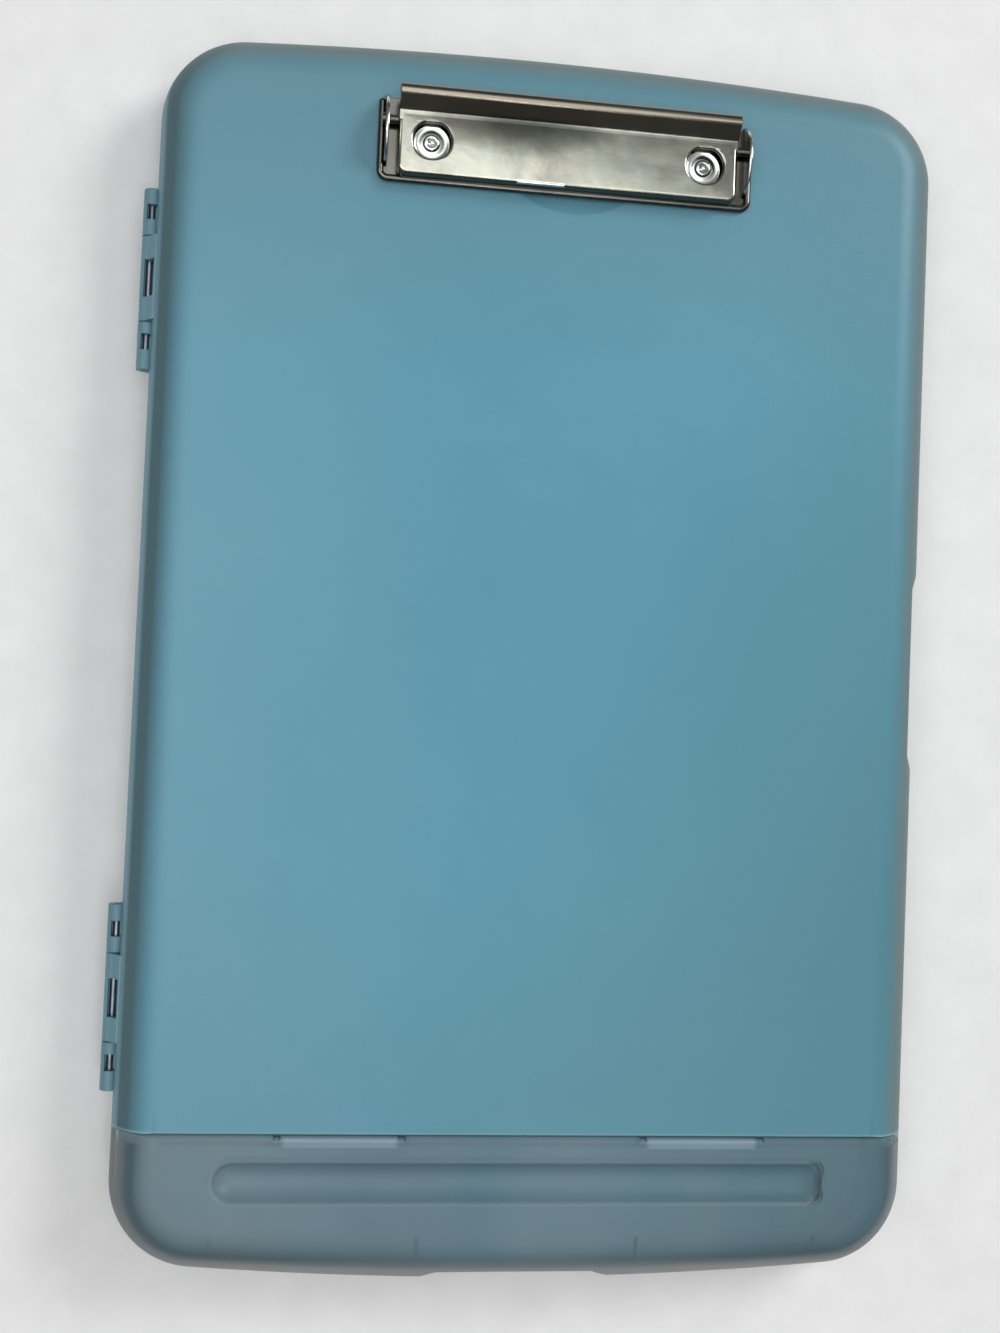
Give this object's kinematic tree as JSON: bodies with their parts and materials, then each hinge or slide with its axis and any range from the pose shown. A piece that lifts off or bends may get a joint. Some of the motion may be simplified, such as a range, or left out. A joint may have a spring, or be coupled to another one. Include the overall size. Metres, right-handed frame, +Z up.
{
  "type": "storage clipboard box",
  "caption": "Flat plastic clipboard case with a side-hinged cover, a metal jaw clip on top and a pen compartment under its own translucent lid.",
  "frame": {"origin": "centre of the tray's flat back, on the surface the case lies on", "axes": "+X towards the free long side, -X towards the hinges, +Y along the case towards the clip, +Z up out of the back towards the cover"},
  "size_m": [0.244, 0.3697, 0.0386],
  "materials": {
    "blue_shell": "satin moulded polypropylene with a fine grain",
    "translucent_lid": "translucent smoky blue polypropylene, smooth",
    "plated_clip": "bright nickel plate with fine drawing marks",
    "steel_pin": "drawn steel wire",
    "spring_steel": "plain spring wire"
  },
  "bodies": {
    "case": {"base_tray": "blue_shell", "hinge_pin_upper": "steel_pin", "hinge_pin_lower": "steel_pin", "pen_lid_pin_left": "steel_pin", "pen_lid_pin_right": "steel_pin"},
    "cover": {"cover": "blue_shell", "clip_base_plate": "plated_clip", "clip_pivot_rod": "steel_pin", "clip_spring": "spring_steel", "clip_rivet_left": "plated_clip", "clip_rivet_right": "plated_clip", "clip_washer_left": "steel_pin", "clip_washer_right": "steel_pin"},
    "pen_lid": {"pen_lid": "translucent_lid"},
    "clip_jaw": {"clip_jaw_plate": "plated_clip"}
  },
  "joints": [
    {"name": "cover_hinge", "type": "hinge", "parent": "case", "child": "cover", "pos_m": [-0.1214, 0, 0.014], "axis": [0, -1, 0], "range_deg": [0, 180]},
    {"name": "pen_lid_hinge", "type": "hinge", "parent": "case", "child": "pen_lid", "pos_m": [0, -0.14195, 0.02625], "axis": [-1, 0, 0], "range_deg": [0, 100]},
    {"name": "clip_jaw_pivot", "type": "hinge", "parent": "cover", "child": "clip_jaw", "pos_m": [0.0009, 0.1572, 0.0313], "axis": [-1, 0, 0], "range_deg": [0, 25], "stiffness_Nm_per_rad": 0.25, "springref_deg": -28.65, "deforming": ["clip_spring"]}
  ]
}
